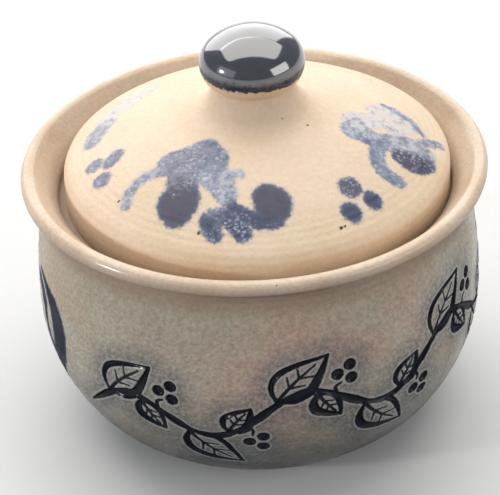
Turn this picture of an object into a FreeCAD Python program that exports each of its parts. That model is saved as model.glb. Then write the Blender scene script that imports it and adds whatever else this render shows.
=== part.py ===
import FreeCAD, Part
import math
import os
import Sketcher

# A lidded stoneware pot for keeping garlic, with a knobbed lid that lies in a gallery inside the
# flared rim. Both pieces are turned forms: each is one half-section revolved about the Z axis.
# Millimetres, +Z up, the origin at the centre of the standing ring, the front towards -Y.

# Driving sizes: name, value, what it is.
SIZES = [
    ("pot_height", 87.0, "from the standing ring to the top of the lip"),
    ("rim_radius", 72.5, "outermost edge of the lip"),
    ("lip_radius", 2.5, "roundness of the rolled lip"),
    ("rim_overhang", 6.0, "how far the lip stands out past the neck"),
    ("cove_radius", 4.5, "hollow turned in under the lip"),
    ("gallery_wall", 5.0, "clay between the neck and the gallery"),
    ("gallery_height", 3.0, "upright part of the gallery above its seat"),
    ("seat_depth", 11.5, "from the top of the lip down to the lid's seat"),
    ("seat_width", 6.5, "ledge that carries the lid"),
    ("ledge_thickness", 3.5, "edge of that ledge at the mouth"),
    ("ledge_splay", 9.0, "height over which the ledge runs out into the wall"),
    ("belly_radius", 70.8, "widest part of the body"),
    ("belly_height", 42.0, "height of the widest part"),
    ("side_radius", 53.0, "curve of the section below the belly"),
    ("heel_height", 13.0, "where the side turns in towards the foot"),
    ("foot_inset", 24.8, "how far the standing ring lies inside the belly"),
    ("ring_width", 6.0, "width of the standing ring"),
    ("base_recess", 1.2, "hollow under the base inside the ring"),
    ("wall_thickness", 5.5, "wall of the body"),
    ("floor_thickness", 6.3, "floor above the recess"),
    ("floor_corner", 18.0, "inside curve from the floor to the wall"),
    ("foot_round", 0.6, "softened edges of the standing ring"),
    ("seat_round", 0.8, "softened edges and corner of the seat"),
    ("throat_round", 6.0, "run-out of the ledge into the wall"),
    ("lid_clearance", 1.3, "gap all round the lid in the gallery"),
    ("rest_width", 4.7, "flat ring under the lid that lies on the seat"),
    ("edge_height", 8.0, "upright edge of the lid above the seat"),
    ("edge_round", 6.0, "turned-down shoulder of the lid"),
    ("dome_radius", 106.0, "curve of the lid's dome"),
    ("lid_thickness", 5.0, "wall of the dome"),
    ("rest_round", 0.8, "softened edges of the resting ring"),
    ("vault_round", 4.0, "inside curve from the dome to the edge of the lid"),
    ("stem_radius", 12.8, "waist between the knob and the dome"),
    ("stem_rise", 6.6, "height of the waist above the top of the dome"),
    ("stem_round", 1.0, "softened crease at the waist"),
    ("knob_radius", 16.1, "widest part of the knob"),
    ("knob_round", 8.2, "curve of the knob's side"),
    ("crown_radius", 21.0, "curve of the knob's top"),
]

# Places that follow from the driving sizes. Centres of curves end in _cx and _cz, and a curve that
# may bend either way, such as the shoulder, has a signed radius.
DERIVED = [
    # lip, cove and shoulder, each tangent to the next
    ("lip_cx", "rim_radius - lip_radius"),
    ("lip_cz", "pot_height - lip_radius"),
    ("neck_radius", "rim_radius - rim_overhang"),
    ("cove_cx", "neck_radius + cove_radius"),
    ("cove_cz", "lip_cz - sqrt((cove_radius + lip_radius)^2 - (cove_cx - lip_cx)^2)"),
    ("roll_x", "lip_cx + lip_radius * (cove_cx - lip_cx) / (lip_radius + cove_radius)"),
    ("roll_z", "lip_cz + lip_radius * (cove_cz - lip_cz) / (lip_radius + cove_radius)"),
    ("shoulder_reach", "(cove_cx - belly_radius)^2 + (cove_cz - belly_height)^2"),
    ("shoulder_curve", "(shoulder_reach - cove_radius^2) / (2 * (belly_radius - neck_radius))"),
    ("shoulder_cx", "belly_radius - shoulder_curve"),
    ("nape_x", "cove_cx - cove_radius * (cove_cx - shoulder_cx) / (shoulder_curve + cove_radius)"),
    ("nape_z", "cove_cz - cove_radius * (cove_cz - belly_height) / (shoulder_curve + cove_radius)"),
    # side, heel and standing ring
    ("foot_radius", "belly_radius - foot_inset"),
    ("side_cx", "belly_radius - side_radius"),
    ("side_drop", "belly_height - heel_height"),
    ("heel_x", "side_cx + sqrt(side_radius^2 - side_drop^2)"),
    ("heel_in", "foot_radius - heel_x"),
    ("heel_turn", "(side_cx - heel_x) * heel_in - side_drop * heel_height"),
    ("heel_curve", "side_radius * (heel_in^2 + heel_height^2) / (2 * heel_turn)"),
    ("heel_cx", "heel_x + heel_curve * (side_cx - heel_x) / side_radius"),
    ("heel_cz", "heel_height + heel_curve * side_drop / side_radius"),
    ("ring_inner", "foot_radius - ring_width"),
    # gallery, and the slope from it that runs tangent into the lip
    ("gallery_radius", "neck_radius - gallery_wall"),
    ("seat_z", "pot_height - seat_depth"),
    ("gallery_top", "seat_z + gallery_height"),
    ("slope_run", "lip_cx - gallery_radius"),
    ("slope_rise", "lip_cz - gallery_top"),
    ("slope_square", "slope_run^2 + slope_rise^2"),
    ("slope_long", "sqrt(slope_square - lip_radius^2)"),
    ("lip_in_x", "lip_cx - lip_radius * (lip_radius * slope_run + slope_long * slope_rise) / slope_square"),
    ("lip_in_z", "lip_cz - lip_radius * (lip_radius * slope_rise - slope_long * slope_run) / slope_square"),
    ("mouth_radius", "gallery_radius - seat_width"),
    ("ledge_z", "seat_z - ledge_thickness"),
    # inside of the body, parallel to the outside
    ("throat_z", "ledge_z - ledge_splay"),
    ("inner_shoulder", "shoulder_curve - wall_thickness"),
    ("inner_shoulder_side", "inner_shoulder / abs(inner_shoulder)"),
    ("throat_reach", "sqrt(inner_shoulder^2 - (throat_z - belly_height)^2)"),
    ("throat_x", "shoulder_cx + inner_shoulder_side * throat_reach"),
    ("inner_belly", "belly_radius - wall_thickness"),
    ("inner_side", "side_radius - wall_thickness"),
    ("floor_z", "base_recess + floor_thickness"),
    ("corner_reach", "inner_side - floor_corner"),
    ("corner_cz", "floor_z + floor_corner"),
    ("corner_cx", "side_cx + sqrt(corner_reach^2 - (belly_height - corner_cz)^2)"),
    ("wall_foot_x", "side_cx + inner_side * (corner_cx - side_cx) / corner_reach"),
    ("wall_foot_z", "belly_height - inner_side * (belly_height - corner_cz) / corner_reach"),
    # lid: edge, dome, the flare up to the waist, and the knob
    ("lid_radius", "gallery_radius - lid_clearance"),
    ("rest_inner", "lid_radius - rest_width"),
    ("edge_cx", "lid_radius - edge_round"),
    ("edge_cz", "seat_z + edge_height"),
    ("dome_cz", "edge_cz - sqrt((dome_radius - edge_round)^2 - edge_cx^2)"),
    ("brow_x", "edge_cx * dome_radius / (dome_radius - edge_round)"),
    ("brow_z", "dome_cz + (edge_cz - dome_cz) * dome_radius / (dome_radius - edge_round)"),
    ("stem_z", "dome_cz + dome_radius + stem_rise"),
    ("stem_reach", "stem_radius^2 + (dome_radius + stem_rise)^2 - dome_radius^2"),
    ("flare_radius", "stem_reach / (2 * (dome_radius - stem_radius))"),
    ("flare_cx", "stem_radius + flare_radius"),
    ("spring_x", "flare_cx * dome_radius / (dome_radius + flare_radius)"),
    ("spring_z", "dome_cz + (stem_z - dome_cz) * dome_radius / (dome_radius + flare_radius)"),
    ("knob_cx", "knob_radius - knob_round"),
    ("knob_cz", "stem_z + sqrt(knob_round^2 - (stem_radius - knob_cx)^2)"),
    ("crown_cz", "knob_cz - sqrt((crown_radius - knob_round)^2 - knob_cx^2)"),
    ("temple_x", "knob_cx * crown_radius / (crown_radius - knob_round)"),
    ("temple_z", "crown_cz + (knob_cz - crown_cz) * crown_radius / (crown_radius - knob_round)"),
    ("knob_top", "crown_cz + crown_radius"),
    ("vault_radius", "dome_radius - lid_thickness"),
    ("vault_top", "dome_cz + vault_radius"),
    ("vault_z", "dome_cz + sqrt(vault_radius^2 - rest_inner^2)"),
]

# Half-section of the pot. Each row is a corner (name, x, z) and the curve that leaves it: None for a
# straight line, or the curve's centre and radius. A "0" is the axis or the ground.
POT_SECTION = [
    ("base_axis", "0", "base_recess", None),
    ("recess_edge", "ring_inner", "base_recess", None),
    ("ring_edge", "ring_inner", "0", None),
    ("foot", "foot_radius", "0", ("heel_cx", "heel_cz", "heel_curve")),
    ("heel", "heel_x", "heel_height", ("side_cx", "belly_height", "side_radius")),
    ("belly", "belly_radius", "belly_height", ("shoulder_cx", "belly_height", "shoulder_curve")),
    ("nape", "nape_x", "nape_z", ("cove_cx", "cove_cz", "cove_radius")),
    ("roll", "roll_x", "roll_z", ("lip_cx", "lip_cz", "lip_radius")),
    ("rim", "rim_radius", "lip_cz", ("lip_cx", "lip_cz", "lip_radius")),
    ("lip_inside", "lip_in_x", "lip_in_z", None),
    ("gallery", "gallery_radius", "gallery_top", None),
    ("seat_corner", "gallery_radius", "seat_z", None),
    ("seat_edge", "mouth_radius", "seat_z", None),
    ("ledge", "mouth_radius", "ledge_z", None),
    ("throat", "throat_x", "throat_z", ("shoulder_cx", "belly_height", "inner_shoulder")),
    ("inside", "inner_belly", "belly_height", ("side_cx", "belly_height", "inner_side")),
    ("wall_foot", "wall_foot_x", "wall_foot_z", ("corner_cx", "corner_cz", "floor_corner")),
    ("floor", "corner_cx", "floor_z", None),
    ("floor_axis", "0", "floor_z", None),
]

# Half-section of the lid with its solid knob.
LID_SECTION = [
    ("vault_axis", "0", "vault_top", ("0", "dome_cz", "vault_radius")),
    ("vault_edge", "rest_inner", "vault_z", None),
    ("rest_inside", "rest_inner", "seat_z", None),
    ("rest_outside", "lid_radius", "seat_z", None),
    ("edge", "lid_radius", "edge_cz", ("edge_cx", "edge_cz", "edge_round")),
    ("brow", "brow_x", "brow_z", ("0", "dome_cz", "dome_radius")),
    ("spring", "spring_x", "spring_z", ("flare_cx", "stem_z", "flare_radius")),
    ("stem", "stem_radius", "stem_z", ("knob_cx", "knob_cz", "knob_round")),
    ("knob", "knob_radius", "knob_cz", ("knob_cx", "knob_cz", "knob_round")),
    ("temple", "temple_x", "temple_z", ("0", "crown_cz", "crown_radius")),
    ("knob_axis", "0", "knob_top", None),
]


def add_sheet(doc):
    """The spreadsheet: driving sizes first, as plain numbers, then what follows from them."""
    sheet = doc.addObject("Spreadsheet::Sheet", "Sizes")
    row = 1
    for name, value, meaning in SIZES:
        sheet.set("A%d" % row, name)
        sheet.set("B%d" % row, str(value))
        sheet.set("C%d" % row, meaning)
        sheet.setAlias("B%d" % row, name)
        row += 1
    for name, formula in DERIVED:
        sheet.set("A%d" % row, name)
        sheet.set("B%d" % row, "=" + formula)
        sheet.setAlias("B%d" % row, name)
        row += 1
    doc.recompute()
    return sheet


def origin_plane(body, role):
    for feature in body.Origin.OriginFeatures:
        if feature.Role == role:
            return feature
    raise ValueError("no plane " + role)


def add_section(body, sheet, name, section):
    """A closed sketch on the body's XZ plane, with every corner and curve bound to the sheet."""
    sketch = body.newObject("Sketcher::SketchObject", name)
    sketch.AttachmentSupport = (origin_plane(body, "XZ_Plane"), [""])
    sketch.MapMode = "FlatFace"

    def number(alias):
        return 0.0 if alias == "0" else float(sheet.get(alias))

    places = [FreeCAD.Vector(number(x), number(z), 0) for _, x, z, _ in section]
    starts = []
    ends = []
    for index, (_, _, _, curve) in enumerate(section):
        begin = places[index]
        finish = places[(index + 1) % len(section)]
        if curve is None:
            edge = sketch.addGeometry(Part.LineSegment(begin, finish), False)
            starts.append((edge, 1))
            ends.append((edge, 2))
            continue
        centre = FreeCAD.Vector(number(curve[0]), number(curve[1]), 0)
        circle = Part.Circle(centre, FreeCAD.Vector(0, 0, 1), abs(number(curve[2])))
        first = circle.parameter(begin)
        last = circle.parameter(finish)
        # the sketcher's arcs run anticlockwise, so a clockwise one is drawn from its far end
        anticlockwise = (begin - centre).cross(finish - centre).z > 0
        if not anticlockwise:
            first, last = last, first
        edge = sketch.addGeometry(Part.ArcOfCircle(circle, first, last), False)
        starts.append((edge, 1 if anticlockwise else 2))
        ends.append((edge, 2 if anticlockwise else 1))

    def bind(constraint, label, formula):
        place = sketch.addConstraint(constraint)
        sketch.renameConstraint(place, label)
        sketch.setExpression("Constraints." + label, formula)

    for index, (corner, x, z, curve) in enumerate(section):
        edge, point = starts[index]
        sketch.addConstraint(Sketcher.Constraint("Coincident", *ends[index - 1], edge, point))
        if x == "0":
            sketch.addConstraint(Sketcher.Constraint("PointOnObject", edge, point, -2))
        else:
            across = Sketcher.Constraint("DistanceX", -1, 1, edge, point, number(x))
            bind(across, corner + "_across", "Sizes." + x)
        if z == "0":
            sketch.addConstraint(Sketcher.Constraint("PointOnObject", edge, point, -1))
        else:
            upward = Sketcher.Constraint("DistanceY", -1, 1, edge, point, number(z))
            bind(upward, corner + "_up", "Sizes." + z)
        if curve is not None:
            radius = Sketcher.Constraint("Radius", edge, abs(number(curve[2])))
            bind(radius, corner + "_curve", "abs(Sizes.%s)" % curve[2])
    return sketch


def revolve(body, sketch):
    turned = body.newObject("PartDesign::Revolution", body.Name + "Turned")
    turned.Profile = sketch
    turned.ReferenceAxis = (sketch, ["V_Axis"])
    turned.Angle = 360
    return turned


def soften(body, sheet, feature, name, radius, corners):
    """Rounds the turned edges that run through the given corners (x, z) of the section."""
    feature.Document.recompute()
    edges = []
    for x, z in corners:
        across = float(sheet.get(x))
        height = 0.0 if z == "0" else float(sheet.get(z))
        for number, edge in enumerate(feature.Shape.Edges, 1):
            if edge.Degenerated or not isinstance(edge.Curve, Part.Circle):
                continue
            if abs(edge.Curve.Radius - across) < 1e-4 and abs(edge.Curve.Center.z - height) < 1e-4:
                edges.append("Edge%d" % number)
    fillet = body.newObject("PartDesign::Fillet", name)
    fillet.Base = (feature, edges)
    fillet.setExpression("Radius", "Sizes." + radius)
    return fillet


def make_pot(doc, sheet):
    """The pot: wall, flared rim with its gallery, floor and standing ring, in one piece."""
    body = doc.addObject("PartDesign::Body", "Pot")
    body.Label = "pot"
    turned = revolve(body, add_section(body, sheet, "PotSection", POT_SECTION))
    throat = soften(body, sheet, turned, "ThroatRound", "throat_round", [("throat_x", "throat_z")])
    foot = soften(body, sheet, throat, "FootRound", "foot_round",
                  [("foot_radius", "0"), ("ring_inner", "0")])
    soften(body, sheet, foot, "SeatRound", "seat_round",
           [("gallery_radius", "seat_z"), ("mouth_radius", "seat_z"), ("mouth_radius", "ledge_z")])
    return body


def make_lid(doc, sheet):
    """The lid: a domed shell with a turned-down shoulder and a solid mushroom knob."""
    body = doc.addObject("PartDesign::Body", "Lid")
    body.Label = "lid"
    turned = revolve(body, add_section(body, sheet, "LidSection", LID_SECTION))
    waist = soften(body, sheet, turned, "WaistRound", "stem_round", [("stem_radius", "stem_z")])
    vault = soften(body, sheet, waist, "VaultRound", "vault_round", [("rest_inner", "vault_z")])
    soften(body, sheet, vault, "RestRound", "rest_round",
           [("rest_inner", "seat_z"), ("lid_radius", "seat_z")])
    return body


def check(doc, bodies):
    doc.recompute()
    for item in doc.Objects:
        if "Invalid" in item.State or "Error" in item.State:
            raise RuntimeError("%s failed: %s" % (item.Name, item.State))
    for body in bodies:
        shape = body.Shape
        if shape.isNull() or not shape.isValid() or len(shape.Solids) != 1:
            raise RuntimeError(body.Label + " is not one valid solid")


document = FreeCAD.newDocument("GarlicPot")
sizes = add_sheet(document)
parts = [make_pot(document, sizes), make_lid(document, sizes)]
check(document, parts)

os.makedirs("parts", exist_ok=True)
for part in parts:
    part.Shape.exportStep("parts/%s.step" % part.Label)
    box = part.Shape.optimalBoundingBox(False)
    litres = part.Shape.Volume / 1e6
    print("%s: %.3f l of clay, radius %.1f, z %.1f to %.1f"
          % (part.Label, litres, box.XMax, box.ZMin, box.ZMax))
print("floor inside %.1f mm above the ground, mouth %.1f mm across"
      % (sizes.floor_z, 2 * sizes.mouth_radius))
print("knob top %.1f mm, least clay at the heel %.1f mm" % (
    sizes.knob_top,
    math.dist((sizes.wall_foot_x, sizes.wall_foot_z), (sizes.heel_x, sizes.heel_height))))
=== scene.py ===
import math

import bpy
import numpy as np
from mathutils import Matrix, Quaternion, Vector


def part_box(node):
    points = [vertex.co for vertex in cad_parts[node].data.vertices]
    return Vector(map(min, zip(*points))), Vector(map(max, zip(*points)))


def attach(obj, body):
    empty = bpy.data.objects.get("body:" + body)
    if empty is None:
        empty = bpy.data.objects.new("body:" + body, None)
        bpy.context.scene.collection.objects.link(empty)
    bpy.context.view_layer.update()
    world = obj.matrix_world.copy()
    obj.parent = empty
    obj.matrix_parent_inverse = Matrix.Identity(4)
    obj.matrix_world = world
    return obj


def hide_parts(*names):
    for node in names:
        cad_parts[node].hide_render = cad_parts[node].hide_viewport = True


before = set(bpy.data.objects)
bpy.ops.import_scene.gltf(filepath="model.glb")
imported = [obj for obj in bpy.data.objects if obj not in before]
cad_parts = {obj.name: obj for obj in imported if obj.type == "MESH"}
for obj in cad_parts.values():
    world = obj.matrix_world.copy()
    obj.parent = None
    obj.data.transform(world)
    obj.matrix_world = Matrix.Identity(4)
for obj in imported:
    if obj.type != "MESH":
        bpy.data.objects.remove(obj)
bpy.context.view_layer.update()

# ---------------------------------------------------------------------------------------------
# The pot: grey stoneware thrown on the wheel, its rim rolled over and a gallery turned into it for
# the lid. The belly is incised while leather hard, cobalt is rubbed into the cuts and brushed on the
# sides, and salt thrown into the kiln gives the whole a pitted glaze. The foot is left dry.

MM = 0.001


def bent_run(begin, finish, centre):
    """A function from 0..1 to places (radius, height) along a line, or on an arc round centre if there
    is one, and the run's length."""
    begin, finish = np.array(begin, float), np.array(finish, float)
    if centre is None:
        reach = float(np.hypot(*(finish - begin)))
        return (lambda share: begin + (finish - begin) * np.asarray(share)[:, None]), reach
    centre = np.array(centre, float)
    radius = float(np.hypot(*(begin - centre)))
    first = math.atan2(begin[1] - centre[1], begin[0] - centre[0])
    last = math.atan2(finish[1] - centre[1], finish[0] - centre[0])
    sweep = (last - first + math.pi) % (2 * math.pi) - math.pi

    def along(share):
        angle = first + sweep * np.asarray(share)
        return centre + radius * np.column_stack([np.cos(angle), np.sin(angle)])

    return along, abs(sweep) * radius


def turned_section(corners):
    """Places (radius, height) down a half-section. A corner is (radius, height, centre of the curve
    that leaves it or None, how far from the corner its edge is rounded, spacing of the places)."""
    runs = [bent_run(a[:2], b[:2], a[2]) for a, b in zip(corners, corners[1:])]
    soft = [corner[3] for corner in corners]
    places = []
    for number, (along, reach) in enumerate(runs):
        spacing = corners[number][4]
        start, stop = soft[number] / reach, 1 - soft[number + 1] / reach
        if soft[number]:
            before, before_reach = runs[number - 1]
            near = before([1 - soft[number] / before_reach])[0]
            far = along([start])[0]
            corner = np.array(corners[number][:2], float)
            steps = max(2, math.ceil(2 * soft[number] / spacing))
            for share in np.arange(1, steps) / steps:
                rest = 1 - share
                places.append(near * rest ** 2 + corner * 2 * share * rest + far * share ** 2)
        count = max(1, round((stop - start) * reach / spacing))
        last = count + 1 if soft[number + 1] or number == len(runs) - 1 else count
        places.extend(along(start + (stop - start) * np.arange(last) / count))
    return np.array(places)


def section_lengths(section):
    return np.r_[0, np.cumsum(np.hypot(*np.diff(section, axis=0).T))]


def towards(begin, finish, share):
    return tuple(a + (b - a) * share for a, b in zip(begin, finish))


def turn(name, section, azimuths, coarse, relief):
    """A turned piece: the section carried round the axis. Rows that coarse marks True have every
    fourth place only. relief gives how far each place of the surface stands out, in millimetres."""
    tangent = np.gradient(section, axis=0)
    tangent /= np.hypot(*tangent.T)[:, None]
    outward = np.column_stack([tangent[:, 1], -tangent[:, 0]])
    places, rings, faces, total = [], [], [], 0
    for number, (radius, height) in enumerate(section):
        if radius < 1e-6:
            turned = azimuths[:1]
        else:
            turned = azimuths[::4] if coarse[number] else azimuths
        raised = relief(np.degrees(turned), number)
        out = radius + outward[number, 0] * raised
        up = height + outward[number, 1] * raised
        if radius < 1e-6:
            out = out * 0
        places.append(np.column_stack([out * np.sin(turned), -out * np.cos(turned), up]))
        rings.append(total + np.arange(len(turned)))
        total += len(turned)
    for low, high in zip(rings, rings[1:]):
        if len(low) == len(high):
            faces += np.column_stack([low, np.roll(low, -1), np.roll(high, -1), high]).tolist()
        elif len(low) == 1:
            faces += [[int(low[0]), int(b), int(a)] for a, b in zip(high, np.roll(high, -1))]
        elif len(high) == 1:
            faces += [[int(a), int(b), int(high[0])] for a, b in zip(low, np.roll(low, -1))]
        else:
            fine, rough = (low, high) if len(low) > len(high) else (high, low)
            step = len(fine) // len(rough)
            looped = np.r_[fine, fine[:1]]
            for number in range(len(rough)):
                edge = looped[number * step:(number + 1) * step + 1].tolist()
                edge += [int(rough[(number + 1) % len(rough)]), int(rough[number])]
                faces.append(edge if fine is low else edge[::-1])
    mesh = bpy.data.meshes.new(name)
    mesh.from_pydata((np.concatenate(places) * MM).tolist(), [], faces)
    mesh.polygons.foreach_set("use_smooth", np.ones(len(mesh.polygons), bool))
    mesh.update()
    piece = bpy.data.objects.new(name, mesh)
    bpy.context.scene.collection.objects.link(piece)
    return piece, rings


def smooth_step(value, low, high):
    share = np.clip((value - low) / (high - low), 0, 1)
    return share * share * (3 - 2 * share)


def drawn_out(stroke, spacing=0.5):
    """A stroke's places (across, up, half-width), joined by a smooth line and spaced closely."""
    stroke = np.array(stroke, float)
    if len(stroke) == 1:
        return np.repeat(stroke, 2, axis=0)
    padded = np.vstack([2 * stroke[0] - stroke[1], stroke, 2 * stroke[-1] - stroke[-2]])
    drawn = []
    for a, b, c, d in zip(padded, padded[1:], padded[2:], padded[3:]):
        count = max(2, math.ceil(np.hypot(*(c - b)[:2]) / spacing))
        share = (np.arange(count) / count)[:, None]
        drawn.append(0.5 * (2 * b + (c - a) * share + (2 * a - 5 * b + 4 * c - d) * share ** 2
                            + (3 * b - a - 3 * c + d) * share ** 3))
    drawn = np.vstack(drawn + [stroke[-1:]])
    drawn[:, 2] = np.maximum(drawn[:, 2], 0.12)
    return drawn


FAR = 8.0                      # how far from a stroke, in millimetres, its distance is still worked out


def distance_to(stroke, across, up):
    """How far each place lies outside a stroke, in millimetres; less than nothing inside it."""
    drawn = drawn_out(stroke)
    found = np.full(len(across), FAR)
    low = drawn[:, :2].min(0) - FAR - drawn[:, 2].max()
    high = drawn[:, :2].max(0) + FAR + drawn[:, 2].max()
    near = np.flatnonzero((across > low[0]) & (across < high[0]) & (up > low[1]) & (up < high[1]))
    if not len(near):
        return found
    x, y, least = across[near], up[near], found[near]
    for (ax, ay, aw), (bx, by, bw) in zip(drawn, drawn[1:]):
        run = (bx - ax) ** 2 + (by - ay) ** 2
        share = np.clip(((x - ax) * (bx - ax) + (y - ay) * (by - ay)) / max(run, 1e-9), 0, 1)
        away = np.hypot(x - ax - share * (bx - ax), y - ay - share * (by - ay))
        least = np.minimum(least, away - aw - share * (bw - aw))
    found[near] = least
    return found


def brushwork(strokes, across, up):
    """For each place: how far outside the brushed strokes it lies, how thick the cobalt lies there
    and how clear a blue it is. A stroke is (thickness, clearness, its places)."""
    outside = np.full(len(across), FAR)
    weight, thick, clear = (np.full(len(across), 1e-6) for _ in range(3))
    for thickness, clearness, stroke in strokes:
        away = distance_to(stroke, across, up)
        outside = np.minimum(outside, away)
        share = np.exp(-np.maximum(away + 0.6, 0) / 0.45) * (0.15 + thickness) ** 2
        weight += share
        thick += share * thickness
        clear += share * clearness
    return outside, thick / weight, clear / weight


def record_on(piece, **fields):
    """Keeps numbers worked out for each place of a mesh as named fields that its material reads."""
    for name, values in fields.items():
        field = piece.data.attributes.new(name, "FLOAT", "POINT")
        field.data.foreach_set("value", np.asarray(values, np.float32))


pot_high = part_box("pot")[1]
rim = pot_high.x / MM
brim = pot_high.z / MM
lip = 2.5                      # roundness of the rolled lip
lip_middle = (rim - lip, brim - lip)
neck = rim - 6.0
cove = 4.5                     # hollow under the lip
cove_drop = math.sqrt((cove + lip) ** 2 - (neck + cove - lip_middle[0]) ** 2)
cove_middle = (neck + cove, lip_middle[1] - cove_drop)
roll = towards(lip_middle, cove_middle, lip / (lip + cove))
belly, belly_height = 70.8, 42.0
shoulder_curve = (((cove_middle[0] - belly) ** 2 + (cove_middle[1] - belly_height) ** 2 - cove ** 2)
                  / (2 * (belly - neck)))
shoulder_middle = (belly - shoulder_curve, belly_height)
nape = towards(cove_middle, shoulder_middle, cove / (shoulder_curve + cove))
side, heel_curve = 53.0, 33.5  # roundness of the side below the belly, and of the heel
side_middle = (belly - side, belly_height)
heel_height, foot, ring_inside, recess = 13.0, 46.0, 40.0, 1.2
heel = (side_middle[0] + math.sqrt(side ** 2 - (belly_height - heel_height) ** 2), heel_height)
heel_middle = towards(heel, side_middle, heel_curve / side)
gallery, seat, mouth = neck - 5.0, brim - 11.5, neck - 11.5
gallery_top = seat + 3.0
slope = np.array(lip_middle) - (gallery, gallery_top)
slope_long = math.sqrt(slope @ slope - lip ** 2)
lip_inside = np.array(lip_middle) - lip * np.array(
    [lip * slope[0] + slope_long * slope[1], lip * slope[1] - slope_long * slope[0]]) / (slope @ slope)
wall = 5.5
ledge, throat_height = seat - 3.5, seat - 12.5
throat_rise = throat_height - belly_height
throat = shoulder_middle[0] + math.sqrt((shoulder_curve - wall) ** 2 - throat_rise ** 2)
floor_height, corner_curve = 7.5, 18.0
corner_reach = side - wall - corner_curve
corner_drop = belly_height - floor_height - corner_curve
corner_middle = (side_middle[0] + math.sqrt(corner_reach ** 2 - corner_drop ** 2),
                 floor_height + corner_curve)
wall_foot = towards(side_middle, corner_middle, (side - wall) / corner_reach)

pot_section = turned_section([
    (0, recess, None, 0, 4.0),
    (ring_inside, recess, None, 0, 0.4),
    (ring_inside, 0, None, 0.6, 0.8),
    (foot, 0, heel_middle, 0.3, 0.6),
    (*heel, side_middle, 0, 0.36),
    (belly, belly_height, shoulder_middle, 0, 0.4),
    (*nape, cove_middle, 0, 0.4),
    (*roll, lip_middle, 0, 0.35),
    (rim, lip_middle[1], lip_middle, 0, 0.35),
    (*lip_inside, None, 0, 0.6),
    (gallery, gallery_top, None, 0.5, 0.6),
    (gallery, seat, None, 0.8, 1.0),
    (mouth, seat, None, 0.8, 0.8),
    (mouth, ledge, None, 0.8, 1.5),
    (throat, throat_height, shoulder_middle, 2.0, 2.5),
    (belly - wall, belly_height, side_middle, 0, 2.5),
    (*wall_foot, corner_middle, 0, 2.0),
    (corner_middle[0], floor_height, None, 0, 4.0),
    (0, floor_height, None, 0, 4.0),
])
pot_lengths = section_lengths(pot_section)
pot_rows = np.arange(len(pot_section))
shown_from = int(np.argmax(pot_section[:, 0] > foot + 0.2))
brim_row = int(np.argmax(pot_section[:, 1]))
shown_to = brim_row + int(np.argmax(pot_section[brim_row:, 1] <= seat + 0.01))
FRONT_HALF, FINE_STEP, PLAIN_STEP = 84, 0.3, 1.2    # degrees; the cuts in front need the fine one
pot_azimuths = np.radians(np.r_[np.arange(-FRONT_HALF, FRONT_HALF, FINE_STEP),
                                np.arange(FRONT_HALF, 360 - FRONT_HALF, PLAIN_STEP)])
pot_coarse = (pot_rows < shown_from) | (pot_rows > shown_to)
belly_round = 70.0             # the belly is unrolled at this radius to draw on it
height_along = pot_lengths[shown_from:shown_to]
heights = pot_section[shown_from:shown_to, 1]
outer_rows = brim_row - shown_from


def up_at(height):
    """How far up the wall, measured along it, a height above the ground lies."""
    return float(np.interp(height, heights[:outer_rows], height_along[:outer_rows]))


def on_belly(strokes):
    """Strokes given by azimuth in degrees, height and half-width, laid on the unrolled belly."""
    return [[(math.radians(a) * belly_round, up_at(h), w) for a, h, w in stroke] for stroke in strokes]


# The incised ornament: a leafy scroll round the front. The stem waves between its leaves, each leaf
# a pointed outline with a midrib and short veins, and three drilled berries fill the hollows.
STEM_START, STEM_END, STEM_WAVE = -50.0, 76.0, 44.0


def stem_at(azimuth):
    rise = 32.0 + 0.13 * (azimuth - STEM_START)
    return rise + 6.6 * math.sin(2 * math.pi * (azimuth - STEM_START) / STEM_WAVE - 0.6)


def leaf(azimuth, height, heading, length, width, bow):
    """A leaf's strokes from its foot, heading in degrees above level, bent sideways by bow."""
    ahead = np.array([math.cos(math.radians(heading)), math.sin(math.radians(heading))])
    aside = np.array([-ahead[1], ahead[0]])
    per_degree = math.radians(1) * belly_round

    def place(share, off, half_width):
        at = ahead * share * length + aside * (off + bow * share * share)
        return (azimuth + at[0] / per_degree, height + at[1], half_width)

    edge = [0, 0.16, 0.4, 0.68, 1.0]
    swell = [0, 0.36, 0.5, 0.34, 0]
    upper = [place(s, width * w, 0.38 + 1.15 * w) for s, w in zip(edge, swell)]
    lower = [place(s, -width * w, 0.46 + 2.1 * w) for s, w in zip(edge, swell)]
    rib = [place(s, 0, 0.6 - 0.45 * s) for s in (-0.12, 0.2, 0.5, 0.8)]
    veins = []
    for s in (0.3, 0.5):
        reach = width * (0.40 - 0.25 * abs(s - 0.4))
        for hand in (1, -1):
            veins.append([place(s, 0, 0.34), place(s + 0.14, hand * reach * 0.74, 0.2)])
    return [upper, lower, rib] + veins


def berries(azimuth, height, heading, stalk):
    """Three drilled berries on a short curved stalk."""
    per_degree = math.radians(1) * belly_round
    turned = math.radians(heading)
    ahead = np.array([math.cos(turned), math.sin(turned)])
    aside = np.array([-ahead[1], ahead[0]])
    start = np.array([azimuth * per_degree, height])
    tip = start + ahead * stalk
    bend = start + ahead * stalk * 0.5 + aside * 1.1
    strokes = [[(*start, 0.6), (*bend, 0.45), (*tip, 0.3)]]
    for along, off in ((2.2, -2.4), (2.2, 2.4), (6.2, 0.1)):
        strokes.append([(*(tip + ahead * along + aside * off), 1.9)])
    return [[(x / per_degree, y, w) for x, y, w in stroke] for stroke in strokes]


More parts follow.
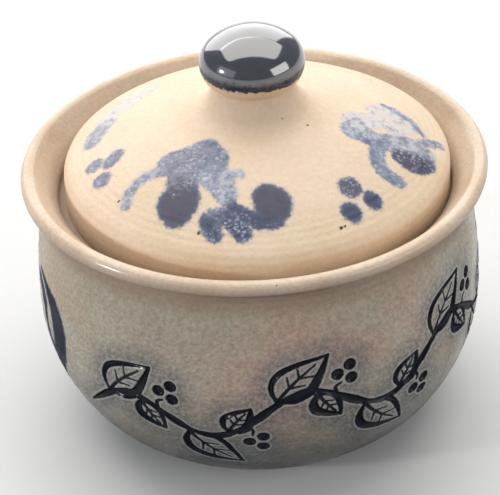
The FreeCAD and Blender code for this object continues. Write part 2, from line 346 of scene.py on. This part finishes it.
stem_places = np.arange(STEM_START, STEM_END + 0.1, 4.0)
stem_swell = 0.86 + 0.6 * np.sin(np.arange(len(stem_places)) * 1.15) ** 2
stem_taper = np.minimum(1, (stem_places - STEM_START + 4) / 12)
incised = [[(a, stem_at(a), w) for a, w in zip(stem_places, stem_swell * stem_taper)]]
LARGE_LEAF, SMALL_LEAF, END_LEAF = (20.5, 11.6), (11.5, 7.4), (15.0, 9.4)
CRESTS = 6
for number in range(CRESTS):
    crest = STEM_START + STEM_WAVE * (0.345 + number / 2)
    over = 1 if number % 2 == 0 else -1
    first = crest - 6.5
    incised += leaf(first, stem_at(first) + over, over * 56, *LARGE_LEAF, -over * 5.0)
    second = crest + 3.5
    incised += leaf(second, stem_at(second) - over, -over * 62, *SMALL_LEAF, over * 1.8)
    if number < CRESTS - 1:
        third = crest + 8.0
        incised += berries(third, stem_at(third) + over * 0.8, over * 62, 3.6)
incised += leaf(STEM_END - 0.5, stem_at(STEM_END), 62, *END_LEAF, 1.6)

# The brushed ornament on the sides: on each a spray of broad comma strokes, as cobalt runs off a
# full brush, with three dots between the sprays.
left_spray = [
    [(-76, 59, 0.9), (-70, 56.5, 2.0), (-64.5, 52, 4.2), (-62.5, 46, 4.9), (-63, 39, 4.4), (-66, 30, 3.4),
     (-69, 22, 2.4), (-73, 14, 1.0)],
    [(-79, 56, 1.4), (-73, 51, 3.0), (-72, 45, 1.8), (-71, 40, 1.8), (-68.5, 35, 2.6)],
    [(-96, 64, 1.0), (-101, 56, 3.6), (-100, 46, 4.6), (-94, 38, 2.2)],
    [(-114, 58, 1.2), (-112, 49, 3.2), (-106, 41, 3.0), (-97, 33, 1.6)],
    [(-121, 40, 0.9), (-114, 33, 2.2), (-104, 28, 2.2), (-94, 24, 1.2)],
    [(-92, 36, 1.2), (-92, 26, 1.6), (-88, 16, 1.4), (-83, 11, 0.7)],
]
right_spray = [
    [(83.5, 62, 1.2), (87, 58, 2.8), (92, 52, 4.0), (96, 42, 4.2), (98, 30, 3.0), (96, 19, 1.0)],
    [(104, 64, 1.0), (108, 56, 3.2), (107, 46, 4.2), (102, 37, 2.2)],
    [(122, 58, 1.1), (119, 49, 3.0), (113, 41, 2.8), (104, 32, 1.5)],
    [(127, 39, 0.8), (120, 32, 2.0), (110, 27, 2.2), (101, 23, 1.2)],
    [(99, 34, 1.2), (102, 24, 1.6), (107, 15, 1.2), (111, 10, 0.6)],
]
side_dots = [[(azimuth, height, size)] for azimuth, height, size in (
    (-147, 49, 2.6), (-141, 44, 2.3), (-147.5, 40, 2.4), (157, 47, 2.5), (151, 42, 2.3), (157.5, 38, 2.5),
    (-172, 44, 2.3), (-166.5, 49.5, 2.5), (-166, 39, 2.2))]


def lathe_wander(azimuth, along, ripple, wave):
    """The hand's unevenness and faint throwing rings, ripple high and wave apart, in millimetres."""
    angle = np.radians(azimuth)
    oval = 0.10 * np.sin(2 * angle + 0.7 + along * 0.02)
    three_sided = 0.05 * np.sin(3 * angle - 1.1)
    drift = 0.35 * np.sin(angle) + 0.6 * np.sin(along * 0.13)
    return oval + three_sided + ripple * np.sin(2 * math.pi * along / wave + drift)


grid_azimuth = np.degrees(pot_azimuths)
grid_azimuth = np.where(grid_azimuth > 180, grid_azimuth - 360, grid_azimuth)
outer = range(shown_from, shown_from + outer_rows)
across, up = (grid.ravel() for grid in np.meshgrid(
    np.radians(grid_azimuth) * belly_round, pot_lengths[shown_from:shown_from + outer_rows]))
cut_away = np.full(len(across), FAR)
for stroke in on_belly(incised):
    cut_away = np.minimum(cut_away, distance_to(stroke, across, up))
FULL_BRUSH, DULL_BLUE = 1.25, 0.25     # thickness and clearness of cobalt off a full brush
sprays = [(FULL_BRUSH, DULL_BLUE, stroke) for stroke in on_belly(left_spray + right_spray + side_dots)]
brushed_away, brush_thick, brush_clear = brushwork(sprays, across, up)
shape = (outer_rows, len(pot_azimuths))
cut_grid = cut_away.reshape(shape)
CUT_DEPTH, BURR = 0.85, 0.16
burr = smooth_step(cut_grid, 0.05, 0.35) * (1 - smooth_step(cut_grid, 0.45, 1.1))
cut_depth = CUT_DEPTH * smooth_step(-cut_grid, -0.12, 0.8) - BURR * burr

# Flame runs over the clay here and there and flushes it pink.
flushed_grid = sum(
    share * np.exp(-((across / belly_round - math.radians(azimuth)) / math.radians(wide)) ** 2
                   - ((up - up_at(height)) / tall) ** 2)
    for share, azimuth, height, wide, tall in (
        (1.0, 3, 56, 24, 24), (0.5, 40, 62, 16, 14), (0.3, -150, 50, 30, 22), (0.3, 140, 60, 24, 20)))

# Salt takes on the belly, not under the lip, and less high on the left.
outer_heights = pot_section[outer, 1][:, None]
salted_grid = smooth_step(outer_heights, 79.0, 70.0) * (
    1 - 0.6 * np.exp(-((grid_azimuth + 68) / 17) ** 2) * smooth_step(outer_heights, 46, 64))


SHRINKAGE = 0.12               # keeps the highest places of the wandering wall within its size
RIBBED_FROM, RIBBED_TO = 70, 79.5   # fine rings that the rib leaves under the lip
LINE_HEIGHT, LINE_DEPTH = 5.4, 0.22  # the line turned above the foot


def pot_relief(azimuth, number):
    along = pot_lengths[number]
    if number < shown_from or number > shown_to:
        return 0 * azimuth
    level = pot_section[number, 1]
    ease = smooth_step(along, pot_lengths[shown_from], pot_lengths[shown_from] + 6)
    raised = lathe_wander(azimuth, along, ripple=0.035, wave=5.2) * ease
    if number >= shown_from + outer_rows - 8:
        raised = raised * 0.5
    raised = raised - SHRINKAGE * ease
    if number in outer:
        raised = raised - cut_depth[number - shown_from]
    if RIBBED_FROM < level < RIBBED_TO:
        ribs = 0.07 * math.sin(level * 3.1)
        raised = raised + ribs * smooth_step(level, RIBBED_FROM, RIBBED_FROM + 4)
    if level < heel_height:
        raised = raised - LINE_DEPTH * math.exp(-((level - LINE_HEIGHT) / 0.5) ** 2)
    return raised


pot, pot_rings = turn("pot_body", pot_section, pot_azimuths, pot_coarse, pot_relief)


def spread(grid, rings, rows, fill):
    """Values known for some full rows, as a list for the whole mesh."""
    values = np.full(sum(map(len, rings)), fill, float)
    for row, number in zip(grid, rows):
        values[rings[number]] = row
    return values


record_on(pot,
          cut_away=spread(cut_grid, pot_rings, outer, FAR),
          brushed_away=spread(brushed_away.reshape(shape), pot_rings, outer, FAR),
          brush_thick=spread(brush_thick.reshape(shape), pot_rings, outer, 0.0),
          brush_clear=spread(brush_clear.reshape(shape), pot_rings, outer, 0.0),
          flushed=spread(flushed_grid.reshape(shape), pot_rings, outer, 0.3),
          salted=spread(salted_grid, pot_rings, outer, 0.0))


class Amount:
    """How much of something there is at each place of a surface: a socket with plain arithmetic."""

    def __init__(self, finish, socket):
        self.finish = finish
        self.socket = socket

    def reckon(self, operation, first, second):
        return self.finish.add("ShaderNodeMath", {"operation": operation}, {0: first, 1: second})

    def __add__(self, other):
        return self.reckon("ADD", self, other)

    def __radd__(self, other):
        return self.reckon("ADD", other, self)

    def __sub__(self, other):
        return self.reckon("SUBTRACT", self, other)

    def __rsub__(self, other):
        return self.reckon("SUBTRACT", other, self)

    def __mul__(self, other):
        return self.reckon("MULTIPLY", self, other)

    def __rmul__(self, other):
        return self.reckon("MULTIPLY", other, self)

    def ramp(self, low, high):
        """Nothing at low, all of it at high, smoothly between; low may be the larger."""
        return self.finish.add("ShaderNodeMapRange", {"interpolation_type": "SMOOTHSTEP"},
                               {"Value": self, "From Min": low, "From Max": high})


class Finish:
    """A finish as it is laid on: its nodes are added one by one."""

    def __init__(self, made):
        made.use_nodes = True
        self.tree = made.node_tree
        self.tree.nodes.clear()
        self.where = self.add("ShaderNodeTexCoord", output="Object")

    def add(self, kind, settings=None, values=None, output=0):
        node = self.tree.nodes.new(kind)
        for name, setting in (settings or {}).items():
            setattr(node, name, setting)
        for name, value in (values or {}).items():
            if isinstance(value, Amount):
                self.tree.links.new(value.socket, node.inputs[name])
            else:
                node.inputs[name].default_value = value
        return Amount(self, node.outputs[output]) if len(node.outputs) else None

    def field(self, name):
        return self.add("ShaderNodeAttribute", {"attribute_name": name}, output="Fac")

    def cloud(self, size, detail=2.0, roughness=0.5, seed=0.0):
        """Soft noise from 0 to 1 whose patches are about size millimetres across."""
        where = self.add("ShaderNodeVectorMath", {"operation": "ADD"}, {0: self.where, 1: (seed, 0, 0)})
        return self.add("ShaderNodeTexNoise", {}, {
            "Vector": where, "Scale": 1 / (size * MM), "Detail": detail, "Roughness": roughness})

    def beads(self, size):
        """Distance from the nearest of many scattered points about size millimetres apart."""
        return self.add("ShaderNodeTexVoronoi", {}, {"Vector": self.where, "Scale": 1 / (size * MM)})

    def blend(self, share, first, second):
        def colour(value):
            return value if isinstance(value, Amount) else (*value, 1.0)

        sockets = {0: share, 6: colour(first), 7: colour(second)}
        return self.add("ShaderNodeMix", {"data_type": "RGBA"}, sockets, output=2)


def fired(red, green, blue):
    """A colour as the eye reads it, 0 to 255, as the amounts of light that it gives back."""
    return tuple(((tone / 255 + 0.055) / 1.055) ** 2.4 for tone in (red, green, blue))


class Stoneware(Finish):
    """Salt-glazed stoneware, built up layer on layer. Besides its colour it keeps how wet with glass
    a place is, how much sheen the salt gives it and how dry cobalt leaves it."""

    def __init__(self, name, clay):
        self.material = bpy.data.materials.new(name)
        super().__init__(self.material)
        self.broad = self.cloud(30, 3.0, 0.55)
        self.patch = self.cloud(12, 3.0, 0.6, seed=4.0)
        self.grain = self.cloud(1.5, 3.0, 0.65, seed=1.0)
        self.fine = self.cloud(0.5, 2.0, 0.6, seed=2.0)
        self.salted = self.field("salted")
        self.height = self.add("ShaderNodeSeparateXYZ", {}, {0: self.where}, output="Z")
        self.sheen = (0.35 + 0.5 * self.patch.ramp(0.3, 0.7)) * self.salted
        self.colour = clay

    def lay(self, share, colour):
        """Lays a colour over what is there already."""
        self.colour = self.blend(share, self.colour, colour)

    def fire(self):
        """Mottled clay, flushed where flame ran over it, greyer and more speckled where salt took."""
        flush = (self.field("flushed") + (self.broad - 0.5) * 1.4).ramp(0.0, 1.0)
        self.lay(self.broad.ramp(0.36, 0.64), fired(228, 204, 180))
        self.lay(self.salted, self.blend(flush, fired(201, 189, 167), fired(222, 185, 167)))
        cream_or_moss = self.blend(self.salted, fired(226, 212, 190), fired(192, 194, 166))
        self.lay(self.patch.ramp(0.42, 0.72) * 0.36, cream_or_moss)
        self.lay(self.grain.ramp(0.38, 0.60) * (0.08 + self.salted * 0.30), fired(136, 126, 112))
        flecks = self.blend(self.salted, fired(236, 220, 196), fired(206, 202, 184))
        self.lay(self.fine.ramp(0.50, 0.68) * (0.2 + self.salted * 0.42), flecks)

        # painted shade: the salted body darkens to blue-grey towards the foot
        self.lay(self.height.ramp(0.046, 0.005) * self.salted * 0.88, fired(84, 90, 94))

        # iron in the clay bursts through as a few brown specks
        specks = self.beads(7.5).ramp(0.052, 0.03) * self.cloud(9, seed=7.0).ramp(0.5, 0.56)
        bursts = (self.field("iron_away") + (self.fine - 0.5) * 0.8).ramp(0.15, -0.1)
        self.lay(specks * 0.85, fired(84, 64, 50))
        self.lay(bursts * self.field("iron_there"), fired(72, 54, 44))

    def brush(self):
        """Brushed cobalt: a toothed edge with a pale fringe, blue where it lies thin and slate where it
        is thick, and in between broken up by pale beads of salt."""
        clear = self.field("brush_clear")
        teeth = (self.beads(1.1) - 0.45) * 0.75 + (self.cloud(2.4, 2.0, 0.6, seed=3.0) - 0.5) * 1.3
        away = self.field("brushed_away") + teeth
        inside = away.ramp(0.70, -0.40)
        laid_on = self.field("brush_thick")
        thick = laid_on + (self.cloud(2.6, 3.0, 0.65, seed=5.0) - 0.5) * (1.9 - 1.5 * laid_on)

        thin = self.blend(clear, fired(162, 163, 175), fired(146, 161, 182))
        middle = self.blend(clear, fired(124, 124, 143), fired(106, 121, 150))
        deep = self.blend(clear, fired(64, 64, 85), fired(34, 56, 96))
        pooled = fired(28, 34, 54)
        cobalt = self.blend(laid_on.ramp(0.15, 0.5), fired(196, 200, 210), thin)
        for share, colour in ((thick.ramp(0.14, 0.55), middle), (thick.ramp(0.50, 0.88), deep),
                              (thick.ramp(0.92, 1.25), pooled)):
            cobalt = self.blend(share, cobalt, colour)
        near_edge = away.ramp(-1.5, -0.2) * thick.ramp(0.35, 0.8)
        cobalt = self.blend(near_edge * 0.4, cobalt, fired(82, 98, 136))

        fringe = away.ramp(1.5, 0.1) * (0.1 + 0.45 * laid_on)
        self.lay(fringe * 0.8, fired(160, 160, 168))
        self.lay(inside * (laid_on * 0.8 + thick * 0.2).ramp(-0.12, 0.45) * 0.96, cobalt)
        beads = (self.beads(1.2) - (self.fine - 0.5) * 1.1).ramp(0.62, 0.10)
        here_and_there = self.cloud(5, 2.0, seed=6.0).ramp(0.40, 0.62)
        between = laid_on.ramp(0.99, 0.80) * laid_on.ramp(0.1, 0.3)
        self.lay(inside * beads * here_and_there * between * 0.62, fired(190, 198, 210))
        self.wet = inside * thick.ramp(0.1, 0.8) * 0.45
        self.dry = 1 - inside * 0.8

    def skin(self, gloss, shine, pits, coat, blur):
        """The skin: an orange peel of shallow pits, smoother where cobalt fluxed the glaze. pits is
        their depth in millimetres, coat and blur are the glass's index and how it spreads light."""
        peel = self.cloud(1.0, 2.0, 0.5, seed=11.0) * 0.7 + self.beads(1.6) * 0.6
        depth = (0.3 + self.salted * 0.6) * (1 - self.wet.ramp(0.0, 0.6) * 0.8)
        normal = self.add("ShaderNodeBump", {}, {
            "Strength": depth, "Distance": pits * MM, "Height": peel})
        rough = gloss + self.grain.ramp(0.3, 0.7) * 0.10 - self.wet.ramp(0.0, 1.0) * (gloss - 0.15)
        surface = self.add("ShaderNodeBsdfPrincipled", {}, {
            "Base Color": self.colour, "Roughness": rough, "Normal": normal,
            "Specular IOR Level": shine, "Coat Roughness": blur, "Coat IOR": coat,
            "Coat Weight": self.sheen * self.dry + self.wet.ramp(0.6, 1.0)})
        self.add("ShaderNodeOutputMaterial", {}, {"Surface": surface})
        return self.material


body = Stoneware("salt_glazed_body", fired(218, 191, 164))
body.fire()
body.brush()

# Cobalt rubbed into the cuts turns black there and smokes over the clay round them. A pale line along
# the edges of the cuts is a painted highlight on the burr, a brown band under the lip and down the
# gallery is painted shade, and the lip has a thin sheen.
cut = body.field("cut_away")
smoke = cut.ramp(12.0, -2.5) * (0.55 + 0.6 * body.cloud(1.2, 2.0, 0.7, seed=13.0).ramp(0.36, 0.62))
body.lay(smoke * 0.8, fired(82, 94, 108))
# painted highlight: a pale line along the edge of each cut, where the burr catches the light
body.lay(cut.ramp(1.0, 0.5) * cut.ramp(0.0, 0.28) * 0.5, fired(190, 190, 186))
in_cut = (cut + (body.cloud(0.8, seed=8.0) - 0.5) * 0.5).ramp(0.24, -0.05)
body.lay(in_cut, fired(22, 26, 38))
# painted shade: a brown band under the lip and down into the gallery
body.lay(body.height.ramp(0.0705, 0.0765) * body.height.ramp(0.083, 0.0785) * 0.4, fired(118, 102, 92))
body.wet = body.wet * 0.4 + in_cut * 0.18
body.dry = body.dry * (1 - in_cut * 0.7)
body.sheen = body.sheen + body.height.ramp(0.0775, 0.081) * (0.35 + 0.3 * body.broad)
pot.data.materials.append(body.skin(gloss=0.5, shine=0.0, pits=0.42, coat=1.65, blur=0.18))
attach(pot, "root")
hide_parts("pot")

# ---------------------------------------------------------------------------------------------
# The lid: a domed shell with a turned-down shoulder, thrown upside down and turned, with a solid
# knob. Its sprigs are brushed on, and the knob is dipped into cobalt glaze. The lid only lies in the
# gallery, so it sits a little to one side, as a hand puts it down.

lid_low, lid_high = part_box("lid")
lid_edge = lid_high.x / MM
lid_seat = lid_low.z / MM
knob_top = lid_high.z / MM
shoulder, dome = 6.0, 106.0
shoulder_at = (lid_edge - shoulder, lid_seat + 8.0)
dome_middle = (0.0, shoulder_at[1] - math.sqrt((dome - shoulder) ** 2 - shoulder_at[0] ** 2))
brow = towards(dome_middle, shoulder_at, dome / (dome - shoulder))
waist, waist_height = 12.8, dome_middle[1] + dome + 6.6
flare = (waist ** 2 + (dome + 6.6) ** 2 - dome ** 2) / (2 * (dome - waist))
flare_middle = (waist + flare, waist_height)
spring = towards(dome_middle, flare_middle, dome / (dome + flare))
knob, knob_round, crown = 16.1, 8.2, 21.0
knob_rise = math.sqrt(knob_round ** 2 - (waist - knob + knob_round) ** 2)
knob_middle = (knob - knob_round, waist_height + knob_rise)
crown_middle = (0.0, knob_top - crown)
temple = towards(crown_middle, knob_middle, crown / (crown - knob_round))
rest_inside, shell = lid_edge - 4.7, 5.0
vault_foot = dome_middle[1] + math.sqrt((dome - shell) ** 2 - rest_inside ** 2)

lid_section = turned_section([
    (0, dome_middle[1] + dome - shell, dome_middle, 0, 3.0),
    (rest_inside, vault_foot, None, 2.4, 1.5),
    (rest_inside, lid_seat, None, 0.8, 1.0),
    (lid_edge, lid_seat, None, 0.8, 0.7),
    (lid_edge, shoulder_at[1], shoulder_at, 0, 0.5),
    (*brow, dome_middle, 0, 0.45),
    (*spring, flare_middle, 0, 0.45),
    (waist, waist_height, knob_middle, 0.7, 0.4),
    (knob, knob_middle[1], knob_middle, 0, 0.45),
    (*temple, crown_middle, 0, 0.8),
    (0, knob_top, None, 0, 0.8),
])
lid_lengths = section_lengths(lid_section)
lid_rows = np.arange(len(lid_section))
lid_shown = int(np.argmax((lid_section[:, 0] > lid_edge - 0.05) & (lid_section[:, 1] > lid_seat + 0.7)))
lid_azimuths = np.radians(np.arange(0, 360, 0.6))

# Sprigs and dots, in millimetres across and away from the front: thickness, clearness, places.
front_sprig = [
    (0.98, 0.05, [(-23.4, -40.2, 6.4), (-23.6, -43.2, 4.6)]),
    (0.60, 0.15, [(-20.8, -29.0, 5.4), (-22.0, -34.0, 5.0)]),
    (0.50, 0.05, [(-25.0, -25.4, 4.6), (-20.6, -24.6, 4.4)]),
    (0.58, 0.40, [(-15.4, -23.4, 4.9), (-13.2, -27.6, 5.0)]),
    (0.34, 0.50, [(-26.0, -28.2, 1.9), (-31.0, -27.4, 1.9), (-35.4, -28.8, 1.8), (-38.3, -32.0, 1.6),
                  (-39.0, -35.4, 1.4)]),
    (0.36, 0.70, [(-15.0, -31.0, 3.6), (-12.0, -34.6, 4.4), (-10.0, -38.8, 3.4), (-8.8, -42.0, 2.4)]),
    (0.34, 0.60, [(-9.6, -34.4, 1.5), (-6.0, -33.6, 1.3), (-4.6, -34.6, 0.9)]),
    (0.99, 0.05, [(2.6, -42.4, 4.4), (4.2, -44.6, 5.4), (4.0, -47.2, 3.6)]),
    (0.90, 0.55, [(5.2, -49.0, 2.4), (1.0, -49.6, 2.5), (-3.2, -48.2, 2.3), (-6.8, -45.6, 1.9),
                  (-8.4, -44.2, 1.3)]),
    (0.78, 0.60, [(-15.2, -47.4, 2.2), (-13.8, -50.4, 2.7), (-12.8, -52.4, 2.0)]),
    (0.84, 0.60, [(-10.4, -47.0, 2.0), (-7.4, -50.0, 2.4), (-5.0, -52.6, 2.6)]),
    (0.55, 0.60, [(-14.0, -46.0, 1.6), (-9.2, -45.8, 1.5)]),
]
right_sprig = [
    (0.36, 0.60, [(30.6, -12.6, 4.8), (34.4, -14.4, 3.4), (37.8, -16.6, 2.0)]),
    (0.22, 0.70, [(30.8, -7.6, 4.4), (35.0, -6.0, 3.8)]),
    (0.70, 0.50, [(32.0, -16.4, 1.5), (36.0, -17.2, 1.4)]),
    (0.34, 0.35, [(41.0, -14.4, 4.2), (46.4, -13.4, 4.8), (50.8, -13.6, 3.6)]),
    (0.86, 0.05, [(43.6, -19.6, 3.2), (47.0, -20.2, 4.2), (50.4, -18.2, 3.4)]),
    (0.40, 0.30, [(51.0, -8.4, 1.8), (56.2, -5.4, 1.7)]),
    (0.50, 0.70, [(38.6, -15.4, 2.0), (36.4, -19.4, 2.3), (35.8, -24.2, 2.3), (37.4, -28.2, 2.3),
                  (41.4, -30.2, 2.2)]),
    (0.55, 0.45, [(40.4, 7.0, 0.9), (44.6, 4.6, 1.0), (48.4, 1.8, 0.8)]),
    (0.50, 0.60, [(49.0, 0.4, 0.9), (51.2, -3.4, 1.1)]),
    (0.19, 0.60, [(38.0, 1.0, 3.6), (43.0, 4.0, 3.4), (47.0, -1.0, 3.6), (42.0, -5.5, 3.8)]),
]
back_sprig = [
    (0.36, 0.00, [(-50.6, 0.0, 2.8), (-48.8, 5.6, 3.6), (-46.6, 9.0, 3.0)]),
    (0.17, 0.10, [(-46.0, 12.0, 4.2), (-40.0, 19.0, 4.4), (-33.0, 25.0, 3.0)]),
]
lid_dots = [
    (0.86, 0.00, [(26.8, -36.7, 3.4)]),
    (0.96, 0.95, [(33.2, -39.4, 2.8)]),
    (0.99, 0.85, [(26.6, -44.9, 3.0)]),
    (0.50, 0.00, [(-49.3, -13.2, 2.7)]),
    (0.56, 0.00, [(-44.2, -15.0, 2.4), (-42.4, -13.0, 2.4)]),
    (0.50, 0.05, [(-46.7, -21.5, 2.8)]),
]
iron_specks = [[place] for place in (
    (-41.2, -32.6, 0.45), (-17.6, -50.6, 0.55), (-16.4, -50.2, 0.35), (-12.3, -52.9, 0.4), (24.4, -49.4, 0.4),
    (23.2, -50.2, 0.5), (27.7, -7.4, 0.4), (15.8, -13.6, 0.35), (-30.0, 40.0, 0.5), (38.0, 30.0, 0.4))]

lid_radii = lid_section[:, 0]
lid_across = np.outer(lid_radii, np.sin(lid_azimuths)).ravel()
lid_away = np.outer(lid_radii, -np.cos(lid_azimuths)).ravel()
painted = brushwork(front_sprig + right_sprig + back_sprig + lid_dots, lid_across, lid_away)
iron_away = np.min([distance_to(speck, lid_across, lid_away) for speck in iron_specks], axis=0)
dip_height = waist_height + 4.3
above_dip = lid_section[:, 1] - dip_height


def lid_relief(azimuth, number):
    if number < lid_shown:
        return 0 * azimuth
    along = lid_lengths[number]
    radius, level = lid_section[number]
    raised = lathe_wander(azimuth, along, ripple=0.012, wave=3.4) * 0.5
    near_edge = smooth_step(radius, 46, 55)
    raised = raised + near_edge * 0.045 * math.sin(along * 2.6)
    if level > waist_height:
        raised = 0.25 * (raised - 0.06 * np.sin(2 * np.radians(azimuth) + 1.0))
    fade = smooth_step(radius, 0.5, 4.0)
    return (raised - 0.08) * fade


lid, lid_rings = turn("lid_with_knob", lid_section, lid_azimuths, lid_rows < lid_shown, lid_relief)
lid_shape = (len(lid_section), len(lid_azimuths))


def spread_lid(values, fill):
    """Values for every place of the full grid, kept for the rows of the outside."""
    grid = np.asarray(values).reshape(lid_shape)
    found = np.full(sum(map(len, lid_rings)), fill, float)
    for number in range(lid_shown, len(lid_section)):
        ring = lid_rings[number]
        found[ring] = grid[number, :len(ring)]
    return found


on_knob = np.repeat(lid_section[:, 1] > waist_height - 4, len(lid_azimuths))
tilt_of_dip = 0.6 * np.tile(np.sin(lid_azimuths + 0.4), len(lid_section))
record_on(lid,
          brushed_away=spread_lid(np.where(on_knob, FAR, painted[0]), FAR),
          brush_thick=spread_lid(painted[1], 0.0),
          brush_clear=spread_lid(painted[2], 0.0),
          iron_away=spread_lid(iron_away, FAR),
          iron_there=spread_lid(np.ones(len(iron_away)), 0.0),
          above_dip=spread_lid(np.repeat(above_dip, len(lid_azimuths)) + tilt_of_dip, -FAR))

# The knob's glaze: an uneven tide line, thin and blue just over it, darker and wetter above.
top = Stoneware("salt_glazed_lid", fired(220, 197, 168))
top.fire()
top.brush()
ragged = (top.beads(1.3) - 0.45) * 1.3 + (top.cloud(2.2, 2.0, 0.6, seed=9.0) - 0.5) * 1.6
tide = top.field("above_dip") + ragged
dip = tide.ramp(-0.25, 0.22)
uneven = top.cloud(5.0, 3.0, 0.6, seed=10.0).ramp(0.4, 0.7)
glaze = top.blend(uneven, fired(24, 30, 48), fired(36, 40, 58))
glaze = top.blend(tide.ramp(2.6, 0.4) * 0.6, glaze, fired(40, 52, 86))
top.lay(dip, glaze)
top.wet = top.wet * (1 - dip) + dip * (0.66 + 0.5 * tide.ramp(0.5, 6.0))
lid.data.materials.append(top.skin(gloss=0.46, shine=0.3, pits=0.42, coat=2.25, blur=0.07))
SET_DOWN = (0.9 * MM, 0.6 * MM, 0)     # how far off the middle it lies
lid.data.transform(Matrix.Translation(SET_DOWN))
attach(lid, "root")
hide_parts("lid")

# ---------------------------------------------------------------------------------------------
# The studio: a sheet of pale paper that keeps the pot's shadow, a window behind it, a broad lamp
# overhead and a panel on each side. A small lamp on the left puts a few glints on the glaze.


def lamp(name, place, aim, size, power, tint):
    light = bpy.data.lights.new(name, "AREA")
    light.shape = "RECTANGLE"
    light.size, light.size_y = size
    light.energy = power
    light.color = tint
    holder = bpy.data.objects.new(name, light)
    holder.location = place
    holder.rotation_euler = (Vector(aim) - Vector(place)).to_track_quat("-Z", "Y").to_euler()
    holder.visible_camera = False
    bpy.context.scene.collection.objects.link(holder)


lamp("window_behind", (-0.36, 2.85, 1.66), (0, 0, 0.07), (4.5, 3.1), 110.0, (1.0, 0.98, 0.96))
lamp("overhead", (0.0, 0.9, 3.1), (0, 0, 0.08), (4.8, 2.4), 86.0, (1.0, 0.98, 0.92))
lamp("left_side", (-2.62, -0.96, 0.76), (0, 0, 0.06), (0.26, 0.24), 29.0, (1.0, 0.99, 0.97))
lamp("left_panel", (-2.5, -1.5, 1.0), (0, 0, 0.06), (2.2, 1.6), 6.0, (0.98, 0.99, 1.0))
lamp("right_panel", (2.6, -1.3, 1.0), (0, 0, 0.06), (2.2, 1.6), 32.0, (1.0, 0.97, 0.93))

bpy.ops.mesh.primitive_plane_add(size=12, location=(0, 0, 0))
floor = bpy.context.object
floor.name = "studio_floor"
pale_paper = bpy.data.materials.new("pale_paper")
paper = Finish(pale_paper)
by_eye, by_mirror, by_glass = (paper.add("ShaderNodeLightPath", output=ray) for ray in (
    "Is Camera Ray", "Is Glossy Ray", "Is Transmission Ray"))
shade, pale, cloudy = fired(52, 52, 55), fired(220, 221, 222), fired(200, 202, 205)
sheet_colour = paper.blend((by_eye + by_mirror + by_glass).ramp(0.0, 1.0), shade, pale)
sheet_colour = paper.blend(paper.cloud(160, 2.0).ramp(0.3, 0.7) * 0.04, sheet_colour, cloudy)
sheet = paper.add("ShaderNodeBsdfPrincipled", {}, {"Base Color": sheet_colour, "Roughness": 0.9})
paper.add("ShaderNodeOutputMaterial", {}, {"Surface": sheet})
floor.data.materials.append(pale_paper)

world = bpy.data.worlds.new("studio_air")
bpy.context.scene.world = world
air = Finish(world)
glow = air.add("ShaderNodeBackground", {}, {"Color": (0.96, 0.97, 1.0, 1), "Strength": 0.32})
air.add("ShaderNodeOutputWorld", {}, {"Surface": glow})
bpy.context.scene.view_settings.view_transform = "Standard"

# A long lens, held a little askew, looks down on the pot from the front.
aim = Vector((-0.00255, 0.0, 0.05146))
distance = 0.57899
stoop, heading, lean = (math.radians(angle) for angle in (33.834, -0.3033, -2.92))
level_look = Vector((math.sin(heading), math.cos(heading), 0))
look = level_look * math.cos(stoop) - Vector((0, 0, math.sin(stoop)))
view = bpy.data.cameras.new("studio_camera")
view.lens, view.sensor_width = 129.6, 36.0
camera = bpy.data.objects.new("studio_camera", view)
camera.rotation_mode = "QUATERNION"
camera.rotation_quaternion = look.to_track_quat("-Z", "Y") @ Quaternion((0, 0, 1), lean)
camera.location = aim - look * distance
bpy.context.scene.collection.objects.link(camera)
bpy.context.scene.camera = camera
